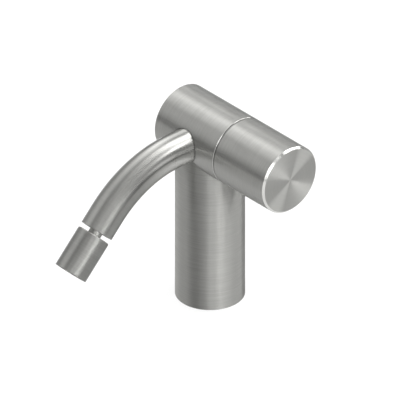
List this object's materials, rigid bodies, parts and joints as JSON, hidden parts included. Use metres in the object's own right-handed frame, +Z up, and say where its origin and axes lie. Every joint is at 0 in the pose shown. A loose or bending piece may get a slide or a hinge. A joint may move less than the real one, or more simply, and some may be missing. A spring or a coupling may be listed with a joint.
{
  "type": "bidet mixer",
  "caption": "Deck-mounted single-hole bidet mixer: brushed steel column and cross head, side knob, bent spout and swivelling nozzle.",
  "frame": {"origin": "centre of the column's foot, in the plane that rests on the deck", "axes": "+Z up along the column; +X along the head towards the knob; -Y towards the spout's outlet"},
  "size_m": [0.0923, 0.1344, 0.1261],
  "materials": {
    "brushed_steel": "satin, finely brushed",
    "plain_steel": "machined",
    "brass": "machined",
    "rubber": "matte",
    "white_plastic": "moulded",
    "grey_plastic": "moulded",
    "ceramic": "lapped"
  },
  "bodies": {
    "body": {"column_body": "brushed_steel", "deck_seal": "rubber", "cold_riser": "brushed_steel", "hot_riser": "brushed_steel", "riser_o_rings": "rubber", "head_shell": "brushed_steel", "head_end_cap": "brushed_steel", "valve_block": "brass", "block_lock_ring": "brass", "knob_guide_ring": "grey_plastic", "cartridge_base": "grey_plastic", "inlet_seals": "rubber", "fixed_disc": "ceramic", "cartridge_housing": "white_plastic", "cartridge_o_ring": "rubber", "thrust_washer": "grey_plastic", "cartridge_nut": "brass", "stop_ring": "grey_plastic", "spout_tube": "brushed_steel", "spout_root_gasket": "rubber", "spout_end_bush": "brushed_steel", "bush_o_ring": "rubber", "ball_stud": "plain_steel"},
    "knob": {"knob_shell": "brushed_steel", "knob_hub": "white_plastic", "knob_grub_screw": "plain_steel", "spindle": "brass", "spindle_o_ring": "rubber", "disc_carrier": "white_plastic", "moving_disc": "ceramic"},
    "liner": {"ball_liner": "grey_plastic"},
    "seats": {"upper_seat_ring": "white_plastic", "lower_seat_ring": "white_plastic", "seat_spring_ring": "rubber"},
    "nozzle": {"nozzle_housing": "brushed_steel", "seat_nut": "brass", "aerator_gasket": "rubber", "flow_regulator": "grey_plastic", "aerator_body": "white_plastic", "aerator_mesh": "plain_steel"}
  },
  "joints": [
    {"name": "knob_turn", "type": "hinge", "parent": "body", "child": "knob", "pos_m": [0.025, 0, 0.1055], "axis": [1, 0, 0], "range_deg": [0, 95]},
    {"name": "nozzle_pitch", "type": "hinge", "parent": "body", "child": "liner", "pos_m": [0, -0.09334, 0.06994], "axis": [1, 0, 0], "range_deg": [-12, 12]},
    {"name": "nozzle_yaw", "type": "hinge", "parent": "liner", "child": "seats", "pos_m": [0, -0.09334, 0.06994], "axis": [0, -0.7071, 0.7071], "range_deg": [-12, 12]},
    {"name": "nozzle_spin", "type": "hinge", "parent": "seats", "child": "nozzle", "pos_m": [0, -0.09334, 0.06994], "axis": [0, -0.7071, -0.7071], "continuous": true}
  ]
}
